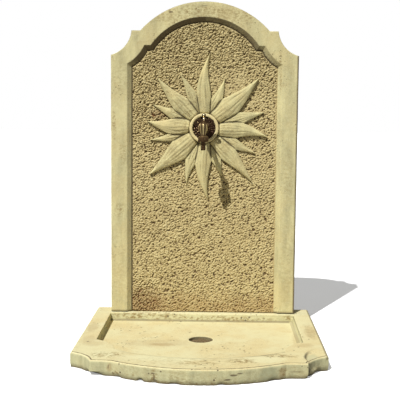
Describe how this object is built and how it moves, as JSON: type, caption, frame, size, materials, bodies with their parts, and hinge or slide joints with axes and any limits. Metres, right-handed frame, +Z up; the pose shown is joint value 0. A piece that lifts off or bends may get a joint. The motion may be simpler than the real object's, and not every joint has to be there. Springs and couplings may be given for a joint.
{
  "type": "garden wall fountain",
  "caption": "Garden wall fountain of cast stone: a moulded back panel with a sunflower relief and a brass bib tap, standing on a low bow-fronted basin.",
  "frame": {"origin": "On the floor under the middle of the whole fountain: X halfway along the basin, Y halfway between the wall face and the tip of the bow, Z at the underside.", "axes": "+X along the wall to the viewer's right, +Y into the wall, +Z up"},
  "size_m": [0.706, 0.6739, 1.0479],
  "materials": {
    "stone": "weathered, bush-hammered field with smoother mouldings",
    "mortar": "rough",
    "brass": "aged, dull with a dark patina",
    "steel": "galvanised",
    "plastic": "moulded",
    "rubber": "matte",
    "fibre": "pressed fibre washer",
    "packing": "greased packing ring"
  },
  "bodies": {
    "fountain": {"basin": "stone", "mortar_bed": "mortar", "panel_dowels": "steel", "wall_panel": "stone", "hanger_plates": "steel", "hanger_screws": "steel", "screw_plugs": "plastic", "sunflower_relief": "stone", "flower_ring": "stone", "rosette": "brass", "supply_nipple": "brass", "back_washer": "steel", "back_nut": "brass", "supply_socket": "brass", "tap_body": "brass", "bonnet_washer": "fibre", "bonnet": "brass", "gland_packing": "packing", "gland_nut": "brass", "union_washer": "rubber", "union_nut": "brass", "hose_tail": "brass"},
    "jumper": {"jumper_valve": "brass", "valve_washer": "rubber", "washer_nut": "brass"},
    "handle": {"spindle": "brass", "butterfly_handle": "brass", "handle_finial": "brass"}
  },
  "joints": [
    {"name": "jumper_lift", "type": "slide", "parent": "fountain", "child": "jumper", "axis": [0, 0, 1], "range_m": [0, 0.003]},
    {"name": "handle_turn", "type": "hinge", "parent": "jumper", "child": "handle", "pos_m": [0, 0.223, 0.675], "axis": [0, 0, 1], "range_deg": [0, 540]}
  ],
  "couplings": [
    {"joint": "jumper_lift", "follows": "handle_turn", "m_per_rad": 0.0003183}
  ]
}
